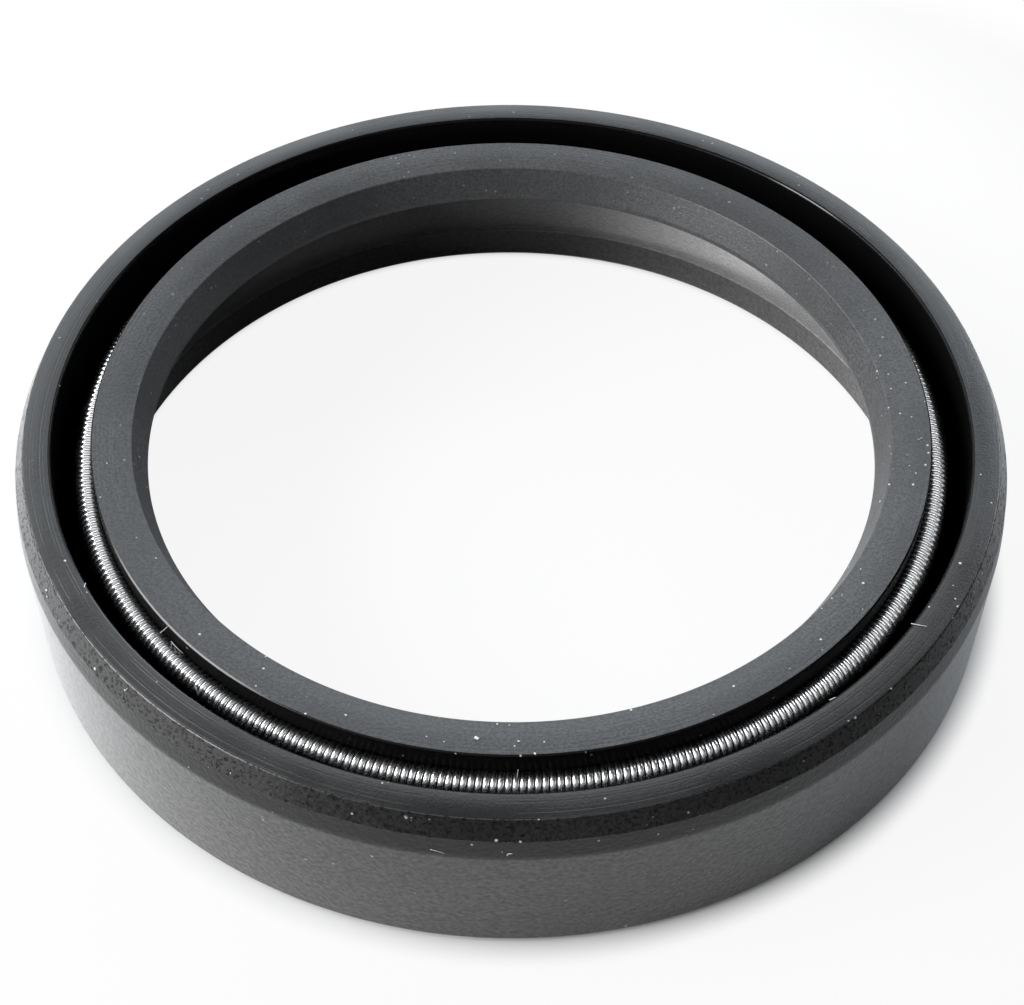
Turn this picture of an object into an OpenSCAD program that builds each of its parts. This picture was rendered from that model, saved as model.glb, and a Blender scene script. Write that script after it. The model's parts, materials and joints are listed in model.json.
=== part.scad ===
// Spring-loaded rotary shaft seal for a caster bearing, standing on its back face.
// The axis is +Z, the spring side is up and the origin is the centre of the back face.

/* [Sealing lip] */
// Free diameter of the sealing edge
lip_d = 37.2; // [20:0.1:80]
// Height of the flat trimmed along the sealing edge
lip_land_h = 0.25; // [0.1:0.05:0.5]
// Depth of the sealing edge below the rim
lip_edge_drop = 2.1; // [1.8:0.05:2.6]
// Radial width of the bevel from the sealing edge up to the lip's top face
lip_bevel_w = 0.6; // [0.3:0.05:1]
// Radial width of the lip's top face
lip_top_w = 2; // [1.6:0.05:2.6]
// Depth of the lip's outer top edge below the rim
lip_drop = 0.2; // [0:0.05:0.4]
// Further fall of the lip's top face towards the shaft
lip_dish = 0.28; // [0:0.02:0.5]
// Thickness of the flexing wall that carries the lip
lip_wall_t = 0.9; // [0.6:0.05:1.1]
// Radial spread of the lip's air side, from the sealing edge out to the web
lip_spread = 3; // [2.6:0.05:3.3]

/* [Cover and web] */
// Width of the seal along its axis
seal_h = 9.5; // [8:0.1:14]
// Radial gap between the lip's flank and the wall
cavity_w = 1.95; // [1.7:0.05:4]
// Thickness of the wall, its steel and the rubber on both its sides together
wall_t = 2.035; // [1.8:0.005:3]
// Thickness of the web at the back
web_t = 2.5; // [2.3:0.05:3.2]
// Height of the web's inner wall, below the flexing wall
web_bore_h = 2.25; // [1.6:0.05:2.6]
// Chamfer on the web's inner edge at the back
web_edge = 0.5; // [0.1:0.05:0.6]
// Chamfer on the outer edge at the back
back_edge = 0.3; // [0.1:0.05:0.6]
// Width of the chamfer round the rim
rim_chamfer_w = 0.5; // [0.2:0.05:0.8]
// Height of the chamfer round the rim
rim_chamfer_h = 1.1; // [0.5:0.05:1.6]
// Inward run of the lead-in below the chamfer
lead_in_w = 0.15; // [0.05:0.05:0.3]
// Height of the lead-in below the chamfer
lead_in_h = 1.2; // [0.5:0.05:2]
// Small chamfer on the rim's inner edge
rim_edge = 0.15; // [0.05:0.05:0.3]

/* [Garter spring] */
// Outside diameter of the coil
coil_d = 1.45; // [1.2:0.05:1.7]
// Diameter of the spring wire
wire_d = 0.3; // [0.2:0.02:0.4]
// Gap left between neighbouring turns on the ring's mean circle
turn_gap = 0.026; // [0:0.002:0.1]
// How far the coil's centre stands outside the lip's flank
coil_stand = 0.35; // [0:0.05:0.45]
// Height of the coil's centre above the sealing edge
coil_rise = 0.1; // [-0.1:0.05:0.2]
// Clearance of the coil in its groove
coil_clear = 0.02; // [0.01:0.01:0.05]
// Height of the shoulder below the groove
shoulder_h = 0.45; // [0.3:0.05:0.7]
// How far the shoulder lies inside the lip's flank
shoulder_back = 0.1; // [0:0.05:0.3]
// Height over which the shoulder tapers into the flexing wall
shoulder_slope_h = 0.7; // [0.4:0.05:1]

/* [Steel case] */
// Thickness of the stamped steel
case_t = 0.8; // [0.6:0.05:0.9]
// Inside radius of the bend between the case's wall and its flange
case_bend_r = 0.4; // [0.2:0.05:0.6]
// Rubber over the outside of the case
case_cover = 0.7; // [0.5:0.05:0.8]
// Rubber under the case's flange
case_floor = 0.6; // [0.4:0.05:0.8]
// Rubber over the top of the case's wall
case_cap = 1.5; // [1.3:0.05:2.5]
// Rubber inside the flange's inner edge
case_nose = 0.7; // [0.5:0.05:0.9]

/* [Hidden] */
$fn = 180;

rubber_black = [0.16, 0.17, 0.18];
spring_silver = [0.78, 0.78, 0.80];
case_grey = [0.45, 0.47, 0.50];

// Radii, built up from the sealing edge outwards
lip_r = lip_d / 2;
bevel_top_r = lip_r + lip_bevel_w;
flank_r = bevel_top_r + lip_top_w;
wall_r = flank_r + cavity_w;
outside_r = wall_r + wall_t;
web_bore_r = lip_r + lip_spread;

// Heights above the back face
edge_z = seal_h - lip_edge_drop;
lip_top_z = seal_h - lip_drop;
lead_in_top_z = seal_h - rim_chamfer_h;
lead_in_low_z = lead_in_top_z - lead_in_h;

// Garter spring and its groove
coil_r = coil_d / 2;
groove_r = coil_r + coil_clear;
ring_r = flank_r + coil_stand;
ring_z = edge_z + coil_rise;
turns = round(2 * PI * ring_r / (wire_d + turn_gap));
turn_valley = wire_d / 2;
// Facets round the coil, and rings along it: a crest and a valley for each turn
coil_sides = 7;
steps_per_turn = 2;

// Flexing wall: its outer face runs lip_wall_t outside the lip's air side
air_angle = atan((lip_r - web_bore_r) / (edge_z - lip_land_h / 2 - web_bore_h));
wall_foot_r = web_bore_r + lip_wall_t * cos(air_angle);
wall_foot_z = web_bore_h - lip_wall_t * sin(air_angle);
function outer_face_r(z) = wall_foot_r + (z - wall_foot_z) * tan(air_angle);

// Shoulder that holds the spring up from below
shoulder_top_z = ring_z - groove_r;
shoulder_low_z = shoulder_top_z - shoulder_h;
neck_z = shoulder_low_z - shoulder_slope_h;

// Steel case
case_out_r = outside_r - case_cover;
case_in_r = case_out_r - case_t;
case_top_z = seal_h - case_cap;
flange_in_r = web_bore_r + case_nose;

// Half section of the moulded rubber, before the groove and the case are taken out
module rubber_outline() {
    polygon([
        [web_bore_r + web_edge, 0],
        [outside_r - back_edge, 0],
        [outside_r, back_edge],
        [outside_r, lead_in_low_z],
        [outside_r - lead_in_w, lead_in_top_z],
        [outside_r - lead_in_w - rim_chamfer_w, seal_h],
        [wall_r + rim_edge, seal_h],
        [wall_r, seal_h - rim_edge],
        [wall_r, web_t],
        [outer_face_r(web_t), web_t],
        [outer_face_r(neck_z), neck_z],
        [flank_r - shoulder_back, shoulder_low_z],
        [flank_r - shoulder_back, ring_z],
        [flank_r, ring_z],
        [flank_r, lip_top_z],
        [bevel_top_r, lip_top_z - lip_dish],
        [lip_r, edge_z + lip_land_h / 2],
        [lip_r, edge_z - lip_land_h / 2],
        [web_bore_r, web_bore_h],
        [web_bore_r, web_edge],
    ]);
}

// Half section of the stamped case: an upright wall, a bend and a flange
module case_section() {
    bend_out_r = case_bend_r + case_t;
    bend_at = [case_out_r - bend_out_r, case_floor + bend_out_r];
    translate([case_in_r, bend_at[1]]) square([case_t, case_top_z - bend_at[1]]);
    translate([flange_in_r, case_floor]) square([bend_at[0] - flange_in_r, case_t]);
    intersection() {
        translate(bend_at) difference() {
            circle(r = bend_out_r);
            circle(r = case_bend_r);
        }
        translate([bend_at[0], case_floor]) square(bend_out_r);
    }
}

// One-piece nitrile rubber moulding: cover, web and spring-loaded lip, bonded over the case
module seal_body() {
    color(rubber_black) difference() {
        rotate_extrude() difference() {
            rubber_outline();
            translate([ring_r, ring_z]) circle(r = groove_r);
        }
        rotate_extrude() case_section();
    }
}

// Close-wound coil joined end to end into a ring: one ridge that winds round the ring once per turn of wire
module garter_spring() {
    steps = turns * steps_per_turn;
    function coil_point(i, j) =
        let (
            along = 360 * (i / steps_per_turn + j / coil_sides) / turns,
            around = 360 * j / coil_sides,
            radius = coil_r - (i % steps_per_turn) * turn_valley,
            r = ring_r + radius * cos(around)
        )
        [r * cos(along), r * sin(along), ring_z + radius * sin(around)];
    function at(i, j) = j < coil_sides
        ? (i % steps) * coil_sides + j
        : ((i + steps_per_turn) % steps) * coil_sides;
    points = [for (i = [0 : steps - 1], j = [0 : coil_sides - 1]) coil_point(i, j)];
    faces = [
        for (i = [0 : steps - 1], j = [0 : coil_sides - 1], half = [0, 1])
            half == 0
                ? [at(i, j), at(i + 1, j), at(i + 1, j + 1)]
                : [at(i, j), at(i + 1, j + 1), at(i, j + 1)]
    ];
    color(spring_silver) polyhedron(points, faces);
}

// Stamped and bent steel ring that gives the seal its press fit
module steel_case() {
    color(case_grey) rotate_extrude() case_section();
}

seal_body();
garter_spring();
steel_case();
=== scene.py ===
import json

import bpy
import numpy as np
from mathutils import Matrix, Vector


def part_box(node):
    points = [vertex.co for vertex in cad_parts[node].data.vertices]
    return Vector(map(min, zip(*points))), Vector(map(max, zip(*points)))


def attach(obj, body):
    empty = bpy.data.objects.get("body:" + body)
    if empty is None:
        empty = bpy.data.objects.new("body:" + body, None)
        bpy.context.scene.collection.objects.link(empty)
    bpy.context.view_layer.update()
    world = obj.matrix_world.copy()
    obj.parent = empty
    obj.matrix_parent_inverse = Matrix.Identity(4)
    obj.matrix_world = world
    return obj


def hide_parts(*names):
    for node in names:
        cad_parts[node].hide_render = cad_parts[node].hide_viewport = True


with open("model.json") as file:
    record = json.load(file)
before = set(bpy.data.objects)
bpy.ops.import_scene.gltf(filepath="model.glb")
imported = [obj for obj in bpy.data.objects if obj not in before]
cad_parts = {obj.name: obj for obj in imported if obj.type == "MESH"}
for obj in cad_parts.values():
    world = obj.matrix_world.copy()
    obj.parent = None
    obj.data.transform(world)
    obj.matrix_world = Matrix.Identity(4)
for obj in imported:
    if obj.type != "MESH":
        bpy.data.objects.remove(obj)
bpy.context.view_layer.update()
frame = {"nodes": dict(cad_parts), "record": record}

# Steel case: a ring stamped from strip and bent to an L, phosphated dull grey so that rubber bonds to it.
# The rubber is moulded all round it, so it keeps its exact solid and only its finish is made here.
MM = 0.001


def add_node(tree, kind, inputs=None, **settings):
    """Adds a shader node. Inputs maps a socket, by name or number, to a value or to an output."""
    made = tree.nodes.new(kind)
    for name, value in settings.items():
        setattr(made, name, value)
    for name, value in (inputs or {}).items():
        if isinstance(value, bpy.types.NodeSocket):
            tree.links.new(value, made.inputs[name])
        else:
            made.inputs[name].default_value = value
    return made


def math_node(tree, operation, first, second=0.0):
    """One number from two."""
    return add_node(tree, "ShaderNodeMath", {0: first, 1: second}, operation=operation).outputs[0]


def ramp(tree, value, start, end, low=0.0, high=1.0):
    """Goes smoothly from low to high while value goes from start to end."""
    inputs = {"Value": value, "From Min": start, "From Max": end, "To Min": low, "To Max": high}
    return add_node(tree, "ShaderNodeMapRange", inputs, interpolation_type="SMOOTHSTEP").outputs["Result"]


def mix_colour(tree, share, first, second):
    """Goes from the first colour to the second as share goes from 0 to 1."""
    inputs = {0: share, 6: first, 7: second}
    return add_node(tree, "ShaderNodeMix", inputs, data_type="RGBA").outputs[2]


def new_group(name, inputs, outputs):
    """An empty shader node group with these sockets, with its input and output nodes."""
    tree = bpy.data.node_groups.new(name, "ShaderNodeTree")
    for label, kind in inputs.items():
        tree.interface.new_socket(label, in_out="INPUT", socket_type=kind)
    for label, kind in outputs.items():
        tree.interface.new_socket(label, in_out="OUTPUT", socket_type=kind)
    return tree, tree.nodes.new("NodeGroupInput").outputs, tree.nodes.new("NodeGroupOutput").inputs


def use_group(tree, group, inputs):
    """Places a group in a material with its own values."""
    made = tree.nodes.new("ShaderNodeGroup")
    made.node_tree = group
    for name, value in inputs.items():
        if isinstance(value, bpy.types.NodeSocket):
            tree.links.new(value, made.inputs[name])
        else:
            made.inputs[name].default_value = value
    return made.outputs


def new_material(name):
    """An empty material with a Principled shader, and its object coordinates."""
    material = bpy.data.materials.new(name)
    material.use_nodes = True
    tree = material.node_tree
    shader = tree.nodes["Principled BSDF"]
    coordinates = tree.nodes.new("ShaderNodeTexCoord").outputs["Object"]
    return material, tree, shader, coordinates


# Cloudy change from low to high over patches of the given size in mm.
mottle, given, result = new_group(
    "mottle",
    {
        "Place": "NodeSocketVector",
        "Size": "NodeSocketFloat",
        "Low": "NodeSocketFloat",
        "High": "NodeSocketFloat",
    },
    {"Value": "NodeSocketFloat"},
)
per_metre = math_node(mottle, "DIVIDE", 1 / MM, given["Size"])
scaled = add_node(mottle, "ShaderNodeVectorMath", {0: given["Place"], "Scale": per_metre}, operation="SCALE")
cloud = add_node(mottle, "ShaderNodeTexNoise", {"Vector": scaled.outputs[0], "Scale": 1.0, "Detail": 3.0})
mottle.links.new(ramp(mottle, cloud.outputs[0], 0.3, 0.7, given["Low"], given["High"]), result["Value"])

case_steel, tree, shader, place = new_material("phosphated_steel")
crystals = use_group(tree, mottle, {"Place": place, "Size": 0.05, "Low": 0.0, "High": 1.0})["Value"]
patches = use_group(tree, mottle, {"Place": place, "Size": 3.0, "Low": 0.0, "High": 1.0})["Value"]
crystal_share = math_node(tree, "MULTIPLY_ADD", crystals, 0.6)
tree.links.new(patches, crystal_share.node.inputs[2])
tree.links.new(
    mix_colour(tree, crystal_share, (0.085, 0.088, 0.092, 1), (0.2, 0.205, 0.215, 1)),
    shader.inputs["Base Color"],
)
tree.links.new(ramp(tree, crystals, 0, 1, 0.55, 0.75), shader.inputs["Roughness"])
phosphate_bump = add_node(tree, "ShaderNodeBump", {"Height": crystals, "Distance": 0.004 * MM})
tree.links.new(phosphate_bump.outputs[0], shader.inputs["Normal"])
shader.inputs["Metallic"].default_value = 0.6
steel_case = frame["nodes"]["steel_case"]
steel_case.data.materials.clear()
steel_case.data.materials.append(case_steel)

# Rubber body: cover, web and sealing lip moulded in one shot of black nitrile rubber round the steel case.
# The tops were trimmed and show fine turning lines, and the mould left the chamfer dull and pitted.
record_mounts = {mount["name"]: mount["dims"] for mount in frame["record"]["mounts"]}
outside_r = record_mounts["housing_fit"]["r_mm"]
lip_r = record_mounts["shaft_lip"]["r_mm"]
lip_land_h = record_mounts["shaft_lip"]["length_mm"]
seal_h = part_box("seal_body")[1].z / MM
case_low, case_high = (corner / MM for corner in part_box("steel_case"))
spring_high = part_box("garter_spring")[1] / MM

lip_edge_drop = 2.1
lip_bevel_w = 0.6
lip_top_w = 2
lip_drop = 0.2
lip_dish = 0.28
lip_wall_t = 0.9
lip_spread = 3
cavity_w = 1.95
web_t = 2.5
web_bore_h = 2.25
web_edge = 0.5
back_edge = 0.3
rim_chamfer_w = 0.5
rim_chamfer_h = 1.1
lead_in_w = 0.15
lead_in_h = 1.2
rim_edge = 0.15
rim_crown = 0.09
rim_crown_r = 3.6
lip_crown = 0.05
lip_crown_r = 8
coil_d = 1.45
coil_clear = 0.02
coil_rise = 0.1
burr_w = 0.085
burr_h = 0.064
burr_fall = 0.008
shoulder_h = 0.45
shoulder_back = 0.1
shoulder_slope_h = 0.7
case_t = 0.8
case_bend_r = 0.4
case_nose = 0.7

bevel_top_r = lip_r + lip_bevel_w
flank_r = bevel_top_r + lip_top_w
wall_r = flank_r + cavity_w
web_bore_r = lip_r + lip_spread
edge_z = seal_h - lip_edge_drop
lip_top_z = seal_h - lip_drop
lead_in_top_z = seal_h - rim_chamfer_h
chamfer_r = outside_r - lead_in_w - rim_chamfer_w
lead_in_low_z = lead_in_top_z - lead_in_h
coil_r = coil_d / 2
groove_r = coil_r + coil_clear
ring_r = spring_high.x - coil_r
ring_z = edge_z + coil_rise
air_slope = (web_bore_r - lip_r) / (edge_z - lip_land_h / 2 - web_bore_h)
wall_run = lip_wall_t * np.hypot(1, air_slope)
shoulder_low_z = ring_z - groove_r - shoulder_h
neck_z = shoulder_low_z - shoulder_slope_h


def flex_wall_r(height):
    """Radius of the flexing wall's outer face: the lip's air side, moved out by the wall's thickness."""
    return web_bore_r - (height - web_bore_h) * air_slope + wall_run


def rounded_line(corners, radii, arc_steps, inset):
    """Rounds the inner corners of an open line in the (radius, height) plane.

    At a corner with unit directions a and b to its neighbours, an arc of radius q touches both lines at
    q / tan(half the angle between them), about a centre on their bisector, and its points turn evenly from
    one touching point to the other. Each straight stretch between arcs has a point near each end and one
    midway.
    """
    corners = np.asarray(corners, float)
    radii = np.asarray(radii, float)[:, None]
    to_last = corners[:-2] - corners[1:-1]
    to_next = corners[2:] - corners[1:-1]
    to_last /= np.linalg.norm(to_last, axis=1, keepdims=True)
    to_next /= np.linalg.norm(to_next, axis=1, keepdims=True)
    half = np.arccos(np.sum(to_last * to_next, axis=1, keepdims=True)) / 2
    bisector = to_last + to_next
    bisector /= np.linalg.norm(bisector, axis=1, keepdims=True)
    centre = corners[1:-1] + bisector * radii / np.sin(half)
    start = corners[1:-1] + to_last * radii / np.tan(half) - centre
    end = corners[1:-1] + to_next * radii / np.tan(half) - centre
    turn = (np.pi - 2 * half)[:, None]
    part = np.linspace(0, 1, arc_steps)[None, :, None]
    arcs = np.sin((1 - part) * turn) * start[:, None] + np.sin(part * turn) * end[:, None]
    arcs = centre[:, None] + arcs / np.sin(turn)

    begin = np.vstack([corners[:1], arcs[:, -1]])
    finish = np.vstack([arcs[:, 0], corners[-1:]])
    length = np.linalg.norm(finish - begin, axis=1)
    near = np.minimum(inset / length, 0.25)
    share = np.stack([near, np.full_like(near, 0.5), 1 - near], axis=1)[:, :, None]
    flats = begin[:, None] + (finish - begin)[:, None] * share
    middle = np.concatenate([flats[:-1], arcs], axis=1).reshape(-1, 2)
    return np.vstack([corners[:1], middle, flats[-1], corners[-1:]])


def turned(profile, sides):
    """Carries a closed profile round the axis: x = r cos angle, y = r sin angle, z = height."""
    angle = np.linspace(0, 2 * np.pi, sides, endpoint=False)
    radius, height = profile[:, :1], profile[:, 1:]
    height = np.broadcast_to(height, (len(profile), sides))
    return np.stack([radius * np.cos(angle), radius * np.sin(angle), height], axis=2)


def closed_grid(points):
    """Corners and four-sided faces of a grid of points that closes on itself both ways."""
    rows, columns = points.shape[:2]
    index = np.arange(rows * columns).reshape(rows, columns)
    beside = np.roll(index, -1, axis=1)
    faces = np.stack([index, beside, np.roll(beside, -1, axis=0), np.roll(index, -1, axis=0)], axis=2)
    return points.reshape(-1, 3), faces.reshape(-1, 4)


def make_piece(name, surfaces, materials):
    """One smooth object in metres from several (points in mm, faces) surfaces."""
    sizes = np.cumsum([0] + [len(points) for points, _ in surfaces])
    points = np.vstack([points for points, _ in surfaces]) * MM
    faces = [face for (_, part), shift in zip(surfaces, sizes) for face in (part + shift).tolist()]
    mesh = bpy.data.meshes.new(name)
    mesh.from_pydata(points.tolist(), [], faces)
    mesh.polygons.foreach_set("use_smooth", np.ones(len(faces), bool))
    for material in materials:
        mesh.materials.append(material)
    piece = bpy.data.objects.new(name, mesh)
    bpy.context.scene.collection.objects.link(piece)
    return piece


def groove_point(angle):
    """A point on the spring groove's round bottom, at an angle round the coil's centre."""
    return np.stack([ring_r + groove_r * np.cos(angle), ring_z + groove_r * np.sin(angle)], axis=-1)


BODY_SIDES = 440
ARC_STEPS = 5
FLAT_INSET = 0.03
# The three points on a straight stretch part it into four strips.
FLAT_STRIPS = 4
groove_step = np.radians(6)
groove_top = np.arccos((flank_r - ring_r) / groove_r)
groove_low = 2 * np.pi - np.arccos((flank_r - shoulder_back - ring_r) / groove_r)
# The rubber's finishes: the trimmed lip and rim, the cavity, black and unshiny as painted shade, the pitted
# chamfer, the smooth skin, the edges of lip and rim, and the wall behind the spring.
LIP, RIM, CAVITY, CHAMFER, SKIN, EDGE, WALL = range(7)

# Corners of the half section: radius, height, rounding, finish of the stretch that leads there,
# and finish of the rounding.
corners = [
    (*groove_point(groove_top), 0.03, CAVITY, CAVITY),
    (flank_r, lip_top_z - burr_fall - burr_h, 0.02, CAVITY, EDGE),
    (flank_r - burr_w, lip_top_z - burr_fall, 0.02, EDGE, LIP),
    ((flank_r + bevel_top_r) / 2, lip_top_z - lip_dish / 2 + lip_crown, lip_crown_r, LIP, LIP),
    (bevel_top_r, lip_top_z - lip_dish, 0.08, LIP, LIP),
    (lip_r, edge_z + lip_land_h / 2, 0.05, LIP, LIP),
    (lip_r, edge_z - lip_land_h / 2, 0.05, LIP, LIP),
    (web_bore_r, web_bore_h, 0.3, SKIN, SKIN),
    (web_bore_r, web_edge, 0.2, SKIN, SKIN),
    (web_bore_r + web_edge, 0, 0.2, SKIN, SKIN),
    (outside_r - back_edge, 0, 0.2, SKIN, SKIN),
    (outside_r, back_edge, 0.2, SKIN, SKIN),
    (outside_r, lead_in_low_z, 0.8, SKIN, SKIN),
    (outside_r - lead_in_w, lead_in_top_z, 0.12, SKIN, CHAMFER),
    (chamfer_r, seal_h - rim_crown, 0.1, CHAMFER, CHAMFER),
    ((chamfer_r + wall_r) / 2, seal_h, rim_crown_r, RIM, RIM),
    (wall_r, seal_h - rim_crown, rim_edge, RIM, EDGE),
    (wall_r, web_t, 0.4, WALL, CAVITY),
    (flex_wall_r(web_t), web_t, 0.4, CAVITY, CAVITY),
    (flex_wall_r(neck_z), neck_z, 0.5, CAVITY, CAVITY),
    (flank_r - shoulder_back, shoulder_low_z, 0.2, CAVITY, CAVITY),
    (*groove_point(groove_low), 0.03, CAVITY, CAVITY),
]
outline = rounded_line(
    [groove_point(groove_top + groove_step)]
    + [corner[:2] for corner in corners]
    + [groove_point(groove_low - groove_step)],
    [corner[2] for corner in corners],
    ARC_STEPS,
    FLAT_INSET,
)
groove_floor = groove_point(np.linspace(groove_low - groove_step, groove_top + groove_step, 16)[1:-1])

# The pocket that the case fills: its wall, its flange and the bend between them.
bend = np.linspace(-np.pi / 2, 0, 8)
bend_centre = np.array([case_high.x - case_t - case_bend_r, case_low.z + case_t + case_bend_r])
bend_way = np.stack([np.cos(bend), np.sin(bend)], axis=1)
pocket = np.vstack([
    [(web_bore_r + case_nose, case_low.z)],
    bend_centre + (case_bend_r + case_t) * bend_way,
    [(case_high.x, case_high.z), (case_high.x - case_t, case_high.z)],
    bend_centre + case_bend_r * bend_way[::-1],
    [(web_bore_r + case_nose, case_low.z + case_t)],
])

# Radius and height of a place on the seal, in mm.
seal_place, given, result = new_group(
    "seal_place", {"Place": "NodeSocketVector"}, {"Radius": "NodeSocketFloat", "Height": "NodeSocketFloat"}
)
in_mm = add_node(seal_place, "ShaderNodeVectorMath", {0: given["Place"], "Scale": 1 / MM}, operation="SCALE")
flat_part = add_node(
    seal_place, "ShaderNodeVectorMath", {0: in_mm.outputs[0], 1: (1, 1, 0)}, operation="MULTIPLY"
)
from_axis = add_node(seal_place, "ShaderNodeVectorMath", {0: flat_part.outputs[0]}, operation="LENGTH")
split = add_node(seal_place, "ShaderNodeSeparateXYZ", {0: in_mm.outputs[0]})
seal_place.links.new(from_axis.outputs["Value"], result["Radius"])
seal_place.links.new(split.outputs["Z"], result["Height"])

# Scattered specks: one spot in some of the cells of a random pattern, each of its own size.
specks, given, result = new_group(
    "specks",
    {
        "Place": "NodeSocketVector",
        "Spacing": "NodeSocketFloat",
        "Width": "NodeSocketFloat",
        "Share": "NodeSocketFloat",
    },
    {"Mask": "NodeSocketFloat"},
)
per_metre = math_node(specks, "DIVIDE", 1 / MM, given["Spacing"])
scaled = add_node(specks, "ShaderNodeVectorMath", {0: given["Place"], "Scale": per_metre}, operation="SCALE")
frayed = add_node(specks, "ShaderNodeTexNoise", {"Vector": scaled.outputs[0], "Scale": 9.0, "Detail": 1.0})
shift = {0: frayed.outputs["Color"], "Scale": 0.14}
shift = add_node(specks, "ShaderNodeVectorMath", shift, operation="SCALE")
frayed = {0: scaled.outputs[0], 1: shift.outputs[0]}
frayed = add_node(specks, "ShaderNodeVectorMath", frayed, operation="ADD")
cells = add_node(specks, "ShaderNodeTexVoronoi", {"Vector": frayed.outputs[0], "Scale": 1.0})
chance = add_node(specks, "ShaderNodeSeparateColor", {0: cells.outputs["Color"]}).outputs
reach = math_node(specks, "DIVIDE", given["Width"], given["Spacing"])
reach = math_node(specks, "MULTIPLY", reach, chance[1])
core = math_node(specks, "MULTIPLY", reach, 0.5)
spot = ramp(specks, cells.outputs["Distance"], reach, core)
picked = math_node(specks, "LESS_THAN", chance[0], given["Share"])
specks.links.new(math_node(specks, "MULTIPLY", spot, picked), result["Mask"])

RUBBER_BLACK = (0.003, 0.0031, 0.0033, 1)
DUST = (0.72, 0.72, 0.7, 1)


def rubber_finish(
    name, grey, rough, grain_mm, grain_depth_mm, line_depth_mm, dust_share, specular, dark=RUBBER_BLACK
):
    """Black rubber that greys in patches and by its grain, with lines round the axis.

    Dust lies where it faces up, more of it at the front.
    """
    material, tree, shader, place = new_material(name)
    bloom = use_group(tree, mottle, {"Place": place, "Size": 9.0, "Low": 0.0, "High": 1.0})["Value"]
    grain = use_group(tree, mottle, {"Place": place, "Size": grain_mm, "Low": 0.0, "High": 1.0})["Value"]
    fine = {"Place": place, "Spacing": 0.26, "Width": 0.09, "Share": dust_share}
    motes = use_group(tree, specks, fine)["Mask"]
    coarse = {"Place": place, "Spacing": 1.1, "Width": 0.13, "Share": dust_share}
    grit = use_group(tree, specks, coarse)["Mask"]
    normal = tree.nodes.new("ShaderNodeNewGeometry").outputs["Normal"]
    facing = add_node(tree, "ShaderNodeSeparateXYZ", {0: normal})
    lying = ramp(tree, facing.outputs["Z"], -0.2, 0.5, 0.3, 1.0)
    depth = add_node(tree, "ShaderNodeSeparateXYZ", {0: place}).outputs["Y"]
    lying = math_node(tree, "MULTIPLY", lying, ramp(tree, depth, 10 * MM, -8 * MM, 0.25, 1.0))
    dust = math_node(tree, "MULTIPLY", math_node(tree, "MAXIMUM", motes, grit), lying)
    greying = math_node(tree, "MULTIPLY", ramp(tree, bloom, 0, 1, 0.5, 1.0), grain)
    colour = mix_colour(tree, dust, mix_colour(tree, greying, dark, grey), DUST)
    tree.links.new(colour, shader.inputs["Base Color"])
    roughness = ramp(tree, bloom, 0, 1, rough - 0.03, rough + 0.03)
    roughness = math_node(tree, "ADD", roughness, math_node(tree, "MULTIPLY", dust, 0.4))
    tree.links.new(roughness, shader.inputs["Roughness"])
    bump = add_node(tree, "ShaderNodeBump", {"Height": grain, "Distance": grain_depth_mm * MM})
    if line_depth_mm:
        radius = use_group(tree, seal_place, {"Place": place})["Radius"]
        lines = add_node(
            tree, "ShaderNodeTexNoise", {"W": radius, "Scale": 8.0, "Detail": 3.0}, noise_dimensions="1D"
        )
        cut = ramp(tree, lines.outputs[0], 0.34, 0.46)
        faded = math_node(tree, "MULTIPLY", cut, ramp(tree, bloom, 0.2, 0.8))
        inputs = {"Height": faded, "Distance": line_depth_mm * MM, "Normal": bump.outputs[0]}
        bump = add_node(tree, "ShaderNodeBump", inputs)
    tree.links.new(bump.outputs[0], shader.inputs["Normal"])
    shader.inputs["Specular IOR Level"].default_value = specular
    shader.inputs["Coat Roughness"].default_value = rough
    return material, tree, shader, place


lip_rubber, *_ = rubber_finish(
    "lip_rubber", grey=(0.085, 0.087, 0.09, 1), rough=0.42, grain_mm=0.14, grain_depth_mm=0.005,
    line_depth_mm=0.006, dust_share=0.12, specular=0.55, dark=(0.04, 0.041, 0.043, 1),
)
rim_rubber, *_ = rubber_finish(
    "rim_rubber", grey=(0.016, 0.0165, 0.017, 1), rough=0.4, grain_mm=0.1, grain_depth_mm=0.005,
    line_depth_mm=0.014, dust_share=0.06, specular=0.8,
)
# Cavity, spring groove and the lip's outer flank: black with no greying and almost no shine, painted shade in
# the recess.
cavity_shade_rubber, *_ = rubber_finish(
    "cavity_shade_rubber", grey=(0.003, 0.003, 0.003, 1), rough=0.36, grain_mm=0.13, grain_depth_mm=0.006,
    line_depth_mm=0.0, dust_share=0.04, specular=0.01,
)

# The chamfer's pits, left by the mould, are dull: only the rubber between them shines.
PIT_SPACING = 0.13
PIT_WIDTH = 0.17
chamfer_rubber, tree, shader, place = rubber_finish(
    "chamfer_rubber", grey=(0.03, 0.029, 0.028, 1), rough=0.26, grain_mm=0.16, grain_depth_mm=0.008,
    line_depth_mm=0.0, dust_share=0.08, specular=0.3,
)
pitting = {"Place": place, "Spacing": PIT_SPACING, "Width": PIT_WIDTH, "Share": 0.48}
pits = use_group(tree, specks, pitting)["Mask"]
tree.links.new(ramp(tree, pits, 0, 1, 1.0, 0.0), shader.inputs["Coat Weight"])

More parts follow.
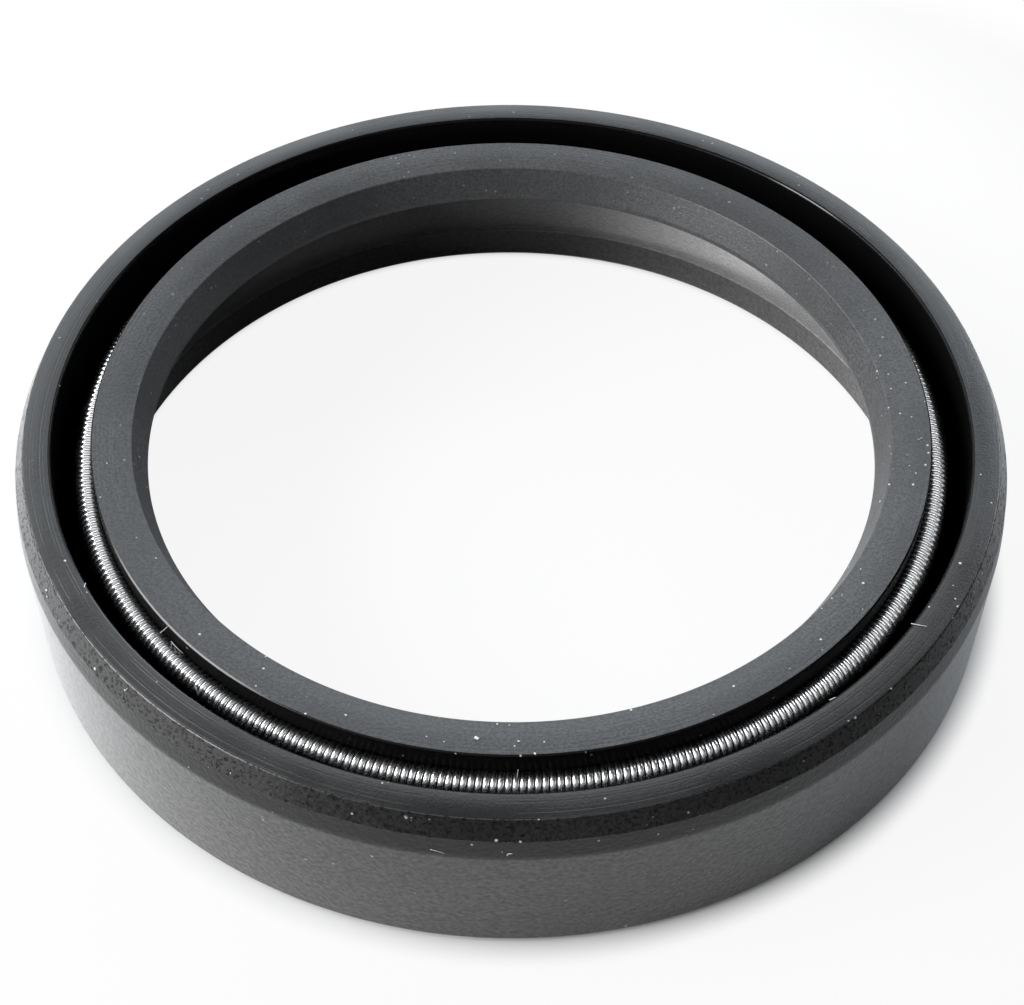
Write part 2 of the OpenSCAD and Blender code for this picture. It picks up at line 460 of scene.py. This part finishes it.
# The skin is polished below the lead-in and satin on it, and the chamfer's pits run over its top edge.
skin_rubber, tree, shader, place = rubber_finish(
    "skin_rubber", grey=(0.01, 0.01, 0.01, 1), rough=0.14, grain_mm=0.24, grain_depth_mm=0.012,
    line_depth_mm=0.0, dust_share=0.06, specular=0.35,
)
height = use_group(tree, seal_place, {"Place": place})["Height"]
polish = ramp(tree, height, lead_in_low_z - 0.15, lead_in_low_z + 0.3, 1.0, 0.15)
pitting = {"Place": place, "Spacing": PIT_SPACING, "Width": PIT_WIDTH, "Share": 0.55}
pits = use_group(tree, specks, pitting)["Mask"]
pits = math_node(tree, "MULTIPLY", pits, ramp(tree, height, lead_in_top_z - 0.2, lead_in_top_z - 0.05))
polish = math_node(tree, "MULTIPLY", polish, ramp(tree, pits, 0, 1, 1.0, 0.0))
spots = use_group(tree, mottle, {"Place": place, "Size": 0.22, "Low": 0.7, "High": 1.25})["Value"]
polish = math_node(tree, "MULTIPLY", polish, spots)
tree.links.new(polish, shader.inputs["Coat Weight"])

# The wall behind the spring shines along the front half, so that the spring mirrors the light
# that comes off it. Elsewhere it is black and hardly shines: painted shade in the recess.
wall_shade_rubber, tree, shader, place = rubber_finish(
    "wall_shade_rubber", grey=(0.004, 0.004, 0.004, 1), rough=0.22, grain_mm=0.13, grain_depth_mm=0.002,
    line_depth_mm=0.0, dust_share=0.0, specular=0.02,
)
depth = add_node(tree, "ShaderNodeSeparateXYZ", {0: place}).outputs["Y"]
tree.links.new(ramp(tree, depth, 0, -8 * MM), shader.inputs["Coat Weight"])
shader.inputs["Coat IOR"].default_value = 2.0

# The edges of lip and rim are dull too, but rubbed smooth along two stretches,
# at the left front and far right.
LIP_GLINT = (-15.6 * MM, -14.1 * MM, 9.2 * MM)
RIM_GLINT = (16.5 * MM, 16.3 * MM, 9.35 * MM)
edge_rubber, tree, shader, place = rubber_finish(
    "edge_rubber", grey=(0.01, 0.01, 0.01, 1), rough=0.2, grain_mm=0.1, grain_depth_mm=0.004,
    line_depth_mm=0.0, dust_share=0.04, specular=0.1,
)


def rubbed_near(glint, core, reach):
    """1 within core of a place on an edge, falling smoothly to 0 at reach from it."""
    away = add_node(tree, "ShaderNodeVectorMath", {0: place, 1: glint}, operation="DISTANCE").outputs["Value"]
    return ramp(tree, away, core, reach, 1.0, 0.0)


rubbed_lip = rubbed_near(LIP_GLINT, 3 * MM, 8 * MM)
rubbed_rim = rubbed_near(RIM_GLINT, 1 * MM, 3.2 * MM)
tree.links.new(math_node(tree, "MAXIMUM", rubbed_lip, rubbed_rim), shader.inputs["Coat Weight"])
finishes = [lip_rubber, rim_rubber, cavity_shade_rubber, chamfer_rubber, skin_rubber, edge_rubber, wall_shade_rubber]

body_profile = np.vstack([outline, groove_floor])
seal_body = make_piece(
    "rubber_body",
    [closed_grid(turned(body_profile, BODY_SIDES)), closed_grid(turned(pocket[::-1], BODY_SIDES))],
    finishes,
)
finish = np.full(len(body_profile) + len(pocket), CAVITY, np.int32)
strips = np.tile([FLAT_STRIPS, ARC_STEPS - 1], len(corners))
stretches = np.repeat(np.ravel([corner[3:] for corner in corners]), strips)
finish[: len(stretches)] = stretches
seal_body.data.polygons.foreach_set("material_index", np.repeat(finish, BODY_SIDES))
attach(seal_body, "root")
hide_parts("seal_body")

# Garter spring: bright drawn wire close-wound into a long coil and joined end to end into a ring.
# It snaps into the lip's groove and is held there by its own pull.
wire_d = 0.3
turn_gap = 0.026
STEPS_PER_TURN = 24
WIRE_SIDES = 8
turns = round(2 * np.pi * ring_r / (wire_d + turn_gap))


def wound_ring(steps, sides):
    """A round wire along a helix that is bent into a ring.

    The wire's centre winds round the ring's mean circle once per turn: r = ring_r + c cos s and
    z = ring_z + c sin s, at the angle s / turns round the axis.
    Across the wire, the surface goes round in the plane of the coil's
    outward direction and of the direction square to it and to the wire.
    """
    wind = np.linspace(0, 2 * np.pi * turns, turns * steps, endpoint=False)
    along = wind / turns
    outward = np.stack([np.cos(along), np.sin(along), np.zeros_like(along)], axis=1)
    onward = np.stack([-np.sin(along), np.cos(along), np.zeros_like(along)], axis=1)
    upward = np.array([0, 0, 1.0])
    mean_r = coil_r - wire_d / 2
    coil_out = outward * np.cos(wind)[:, None] + upward * np.sin(wind)[:, None]
    coil_on = -outward * np.sin(wind)[:, None] + upward * np.cos(wind)[:, None]
    centre = outward * ring_r + upward * ring_z + coil_out * mean_r
    pitch = (ring_r + mean_r * np.cos(wind)) / turns
    wire_way = coil_on * mean_r + onward * pitch[:, None]
    wire_way /= np.linalg.norm(wire_way, axis=1, keepdims=True)
    aside = np.cross(wire_way, coil_out)
    turn = np.linspace(0, 2 * np.pi, sides, endpoint=False)[None, :, None]
    return centre[:, None] + wire_d / 2 * (coil_out[:, None] * np.cos(turn) + aside[:, None] * np.sin(turn))


spring_steel, tree, shader, place = new_material("bright_spring_wire")
tarnish = use_group(tree, mottle, {"Place": place, "Size": 1.6, "Low": 0.0, "High": 1.0})["Value"]
drawn = use_group(tree, mottle, {"Place": place, "Size": 0.06, "Low": 0.0, "High": 1.0})["Value"]
tree.links.new(
    mix_colour(tree, tarnish, (0.88, 0.88, 0.885, 1), (0.8, 0.8, 0.805, 1)), shader.inputs["Base Color"]
)
tree.links.new(
    math_node(tree, "ADD", ramp(tree, tarnish, 0, 1, 0.17, 0.23), math_node(tree, "MULTIPLY", drawn, 0.06)),
    shader.inputs["Roughness"],
)
drawn_bump = add_node(tree, "ShaderNodeBump", {"Height": drawn, "Distance": 0.0006 * MM})
tree.links.new(drawn_bump.outputs[0], shader.inputs["Normal"])
shader.inputs["Metallic"].default_value = 1.0

wire = closed_grid(wound_ring(STEPS_PER_TURN, WIRE_SIDES))
garter_spring = make_piece("wound_spring", [wire], [spring_steel])
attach(garter_spring, "root")
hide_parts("garter_spring")

# Lint: hairs of cloth and grit that lie loose on the rubber and on the spring.
# Each is a thin fibre, bent once, in the place where the photograph shows it.
LINT_WHITE = (0.8, 0.8, 0.78, 1)
FIBRE_STEPS = 10
FIBRE_SIDES = 4
HAIR = 0.04


def fibre(start, bend, end, thickness=HAIR):
    """A hair of square section along (1 - t)^2 start + 2 t (1 - t) bend + t^2 end, with t from 0 to 1.

    Each place is an angle round the axis in degrees, a radius and a height.
    The ends are closed by a face each.
    """
    angle, radius, height = np.array([start, bend, end], float).T
    knots = np.stack([radius * np.cos(np.radians(angle)), radius * np.sin(np.radians(angle)), height], axis=1)
    t = np.linspace(0, 1, FIBRE_STEPS)[:, None]
    centre = (1 - t) ** 2 * knots[0] + 2 * t * (1 - t) * knots[1] + t**2 * knots[2]
    way = np.gradient(centre, axis=0)
    way /= np.linalg.norm(way, axis=1, keepdims=True)
    aside = np.cross(way, (0.2, 0.1, 1.0))
    aside /= np.linalg.norm(aside, axis=1, keepdims=True)
    above = np.cross(aside, way)
    turn = np.linspace(0, 2 * np.pi, FIBRE_SIDES, endpoint=False)[None, :, None]
    points = centre[:, None] + thickness / 2 * (aside[:, None] * np.cos(turn) + above[:, None] * np.sin(turn))
    _, faces = closed_grid(points)
    sides = faces[: (FIBRE_STEPS - 1) * FIBRE_SIDES]
    first = np.arange(FIBRE_SIDES)
    last = first[::-1] + (FIBRE_STEPS - 1) * FIBRE_SIDES
    return points.reshape(-1, 3), np.vstack([sides[:, ::-1], [first], [last]])


hairs = [
    fibre((-36.6, 23.1, 9.4), (-36.5, 23.4, 9.5), (-36.0, 23.82, 9.475)),
    fibre((-149.3, 21.73, 8.23), (-148.2, 21.75, 8.26), (-147.2, 21.66, 8.25)),
    fibre((-139.8, 21.39, 8.24), (-139.2, 21.25, 8.6), (-138.2, 21.23, 9.2)),
    fibre((-137.9, 21.24, 8.2), (-136.2, 21.34, 8.34), (-135.3, 21.25, 8.2)),
    fibre((-130.6, 22.07, 8.05), (-129.9, 22.19, 8.02), (-129.9, 22.22, 7.82)),
    fibre((-89.0, 21.62, 8.24), (-89.0, 21.5, 8.44), (-88.9, 21.5, 8.66)),
    fibre((-134.6, 24.75, 9.05), (-134.1, 24.86, 9.2), (-134.2, 24.66, 9.25)),
    fibre((-9.3, 24.68, 9.2), (-8.8, 24.76, 9.3), (-8.6, 24.62, 9.32)),
    fibre((-5.7, 20.5, 9.26), (-5.5, 20.6, 9.28), (-5.2, 20.7, 9.27)),
    fibre((-149.5, 23.12, 9.36), (-149.2, 23.2, 9.46), (-148.8, 23.3, 9.44)),
    fibre((-51.6, 23.1, 9.36), (-51.2, 23.2, 9.46), (-50.9, 23.2, 9.42)),
    fibre((-90.1, 25.15, 7.5), (-90.1, 25.14, 7.72), (-89.5, 25.14, 7.64)),
    fibre((-97.7, 25.15, 7.6), (-96.9, 25.16, 7.55), (-96.3, 25.16, 7.4)),
    fibre((-39.9, 21.5, 8.24), (-39.6, 21.45, 8.31), (-39.2, 21.55, 8.25)),
    fibre((-94.25, 20.24, 9.25), (-94.0, 20.3, 9.26), (-93.75, 20.33, 9.25), 0.16),
    fibre((-88.9, 20.38, 9.25), (-88.8, 20.4, 9.26), (-88.65, 20.42, 9.25), 0.08),
    fibre((-86.95, 21.05, 9.29), (-86.9, 21.1, 9.29), (-86.8, 21.13, 9.28), 0.09),
]
lint_white, tree, shader, place = new_material("lint")
shader.inputs["Base Color"].default_value = LINT_WHITE
shader.inputs["Roughness"].default_value = 0.8
lint = make_piece("lint", hairs, [lint_white])
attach(lint, "root")

# Floor, light and camera: a white floor, painted grey as shade beyond a patch left of the seal, lit by a
# window at the left and by soft panels. The spring mirrors a white ceiling above the camera, and the lip's
# air side a painted glow on the floor inside the ring at the right.
# The camera stands where the seal's circles say that the photograph was taken from.
FLOOR_WIDTH = 4.0
FLOOR_BELOW = 0.02 * MM
PAPER_WHITE = (0.92, 0.92, 0.92, 1)
PAINTED_SHADE_GREY = (0.1, 0.1, 0.1, 1)
UNSHADED_CENTRE = (-15 * MM, 10 * MM, 0)
NEAR_WHITE = 0.9
floor_mesh = bpy.data.meshes.new("table")
side = FLOOR_WIDTH / 2
table_corners = [(-side, -side), (side, -side), (side, side), (-side, side)]
floor_mesh.from_pydata([(*corner, -FLOOR_BELOW) for corner in table_corners], [], [(0, 1, 2, 3)])
floor = bpy.data.objects.new("table", floor_mesh)
bpy.context.scene.collection.objects.link(floor)
paper, tree, shader, place = new_material("paper_and_painted_glow")
where = use_group(tree, seal_place, {"Place": place})["Radius"]
# Beyond a round patch centred left of the seal the floor turns grey: painted shade, seen mostly in
# reflections, as camera rays see the floor nearly white.
unshaded_offset = add_node(tree, "ShaderNodeVectorMath", {0: place, 1: UNSHADED_CENTRE}, operation="SUBTRACT")
from_centre = use_group(tree, seal_place, {"Place": unshaded_offset.outputs[0]})["Radius"]
painted_shade_share = ramp(tree, from_centre, 45, 70)
tree.links.new(mix_colour(tree, painted_shade_share, PAPER_WHITE, PAINTED_SHADE_GREY), shader.inputs["Base Color"])
shader.inputs["Roughness"].default_value = 0.9
glow = add_node(tree, "ShaderNodeEmission", {"Color": (1, 1, 1, 1), "Strength": 1.0})
path = tree.nodes.new("ShaderNodeLightPath").outputs
in_hole = ramp(tree, where, 21.6, 23, 1.0, 0.0)
white = math_node(tree, "MULTIPLY", in_hole, NEAR_WHITE)
white = math_node(tree, "MAXIMUM", white, ramp(tree, where, 24.7, 26.7, 0.0, NEAR_WHITE))
white = math_node(tree, "MAXIMUM", white, ramp(tree, where, 30, 60))
# Glossy rays see the floor glow white far away, and inside the ring's right half, where the glow is a painted
# pool of light for the lip's air side to mirror.
mirrored = math_node(tree, "MAXIMUM", path["Is Glossy Ray"], path["Is Transmission Ray"])
across = add_node(tree, "ShaderNodeSeparateXYZ", {0: place}).outputs["X"]
painted_glow_in_hole = math_node(tree, "MULTIPLY", in_hole, ramp(tree, across, 2 * MM, 16 * MM))
paper_and_painted_glow = math_node(tree, "MAXIMUM", painted_glow_in_hole, ramp(tree, where, 600, 1500))
mirrored = math_node(tree, "MULTIPLY", mirrored, paper_and_painted_glow)
seen = math_node(tree, "MAXIMUM", math_node(tree, "MULTIPLY", path["Is Camera Ray"], white), mirrored)
both = add_node(tree, "ShaderNodeMixShader", {0: seen, 1: shader.outputs[0], 2: glow.outputs[0]})
tree.links.new(both.outputs[0], tree.nodes["Material Output"].inputs["Surface"])
floor_mesh.materials.append(paper)


def soft_light(name, azimuth, elevation, distance, width, height, radiance, tint=(1, 1, 1)):
    """A flat lamp of the given brightness, at an azimuth from +X and an elevation in degrees."""
    around, above = np.radians([azimuth, elevation])
    towards = Vector((np.cos(above) * np.cos(around), np.cos(above) * np.sin(around), np.sin(above)))
    lamp = bpy.data.lights.new(name, "AREA")
    lamp.shape = "RECTANGLE"
    lamp.size = width
    lamp.size_y = height
    lamp.energy = radiance * np.pi * width * height
    lamp.color = tint
    made = bpy.data.objects.new(name, lamp)
    made.location = towards * distance
    made.rotation_euler = towards.to_track_quat("Z", "Y").to_euler()
    bpy.context.scene.collection.objects.link(made)


COOL = (0.93, 0.99, 1.04)
soft_light("window", 185, 33, 0.5, 0.48, 0.24, 8.5)
soft_light("back_panel", 108, 28, 0.5, 1.05, 0.34, 2.4, COOL)
soft_light("right_panel", 42, 25, 0.5, 0.32, 0.22, 3.6, COOL)
soft_light("low_panel", 206, 10, 0.5, 0.34, 0.17, 5.8)

world = bpy.data.worlds.new("studio")
world.use_nodes = True
bpy.context.scene.world = world
tree = world.node_tree
way = tree.nodes.new("ShaderNodeTexCoord").outputs["Generated"]
way = add_node(tree, "ShaderNodeSeparateXYZ", {0: way}).outputs
dim = mix_colour(tree, ramp(tree, way["Z"], 0.0, 0.9), (0.04, 0.04, 0.042, 1), (0.08, 0.08, 0.084, 1))
path = tree.nodes.new("ShaderNodeLightPath").outputs
mirrored = math_node(tree, "MAXIMUM", path["Is Glossy Ray"], path["Is Transmission Ray"])
ceiling = math_node(tree, "MULTIPLY", ramp(tree, way["Y"], -0.05, -0.3), ramp(tree, way["Z"], 0.2, 0.5))
ceiling = math_node(tree, "MULTIPLY", ceiling, ramp(tree, way["X"], 0.0, 0.5, 1.0, 0.35))
mirrored = math_node(tree, "MULTIPLY", mirrored, ceiling)
seen = math_node(tree, "MAXIMUM", path["Is Camera Ray"], mirrored)
tree.links.new(mix_colour(tree, seen, dim, (1, 1, 1, 1)), tree.nodes["Background"].inputs["Color"])

IMAGE_W = 1024
FOCAL_PIXELS = 2000
SENSOR_W = 36
camera_elevation = np.radians(46.041)
camera_distance = 101.58 * MM
camera_pan = np.radians(-0.028)
camera_tilt = np.radians(-2.815)
camera_roll = np.radians(-0.458)
rim_centre = Vector((0, 0, seal_h * MM))
backward = Vector((0, -np.cos(camera_elevation), np.sin(camera_elevation)))
right = Vector((1, 0, 0))
up = backward.cross(right)
facing_rim = Matrix((right, up, backward)).transposed().to_4x4()
turned_aside = (
    Matrix.Rotation(camera_pan, 4, "Y")
    @ Matrix.Rotation(camera_tilt, 4, "X")
    @ Matrix.Rotation(-camera_roll, 4, "Z")
)
lens = bpy.data.cameras.new("camera")
lens.sensor_width = SENSOR_W
lens.lens = FOCAL_PIXELS / IMAGE_W * SENSOR_W
lens.clip_start = 0.01
camera = bpy.data.objects.new("camera", lens)
camera.matrix_world = Matrix.Translation(rim_centre + backward * camera_distance) @ facing_rim @ turned_aside
bpy.context.scene.collection.objects.link(camera)
bpy.context.scene.camera = camera
bpy.context.scene.view_settings.view_transform = "Standard"
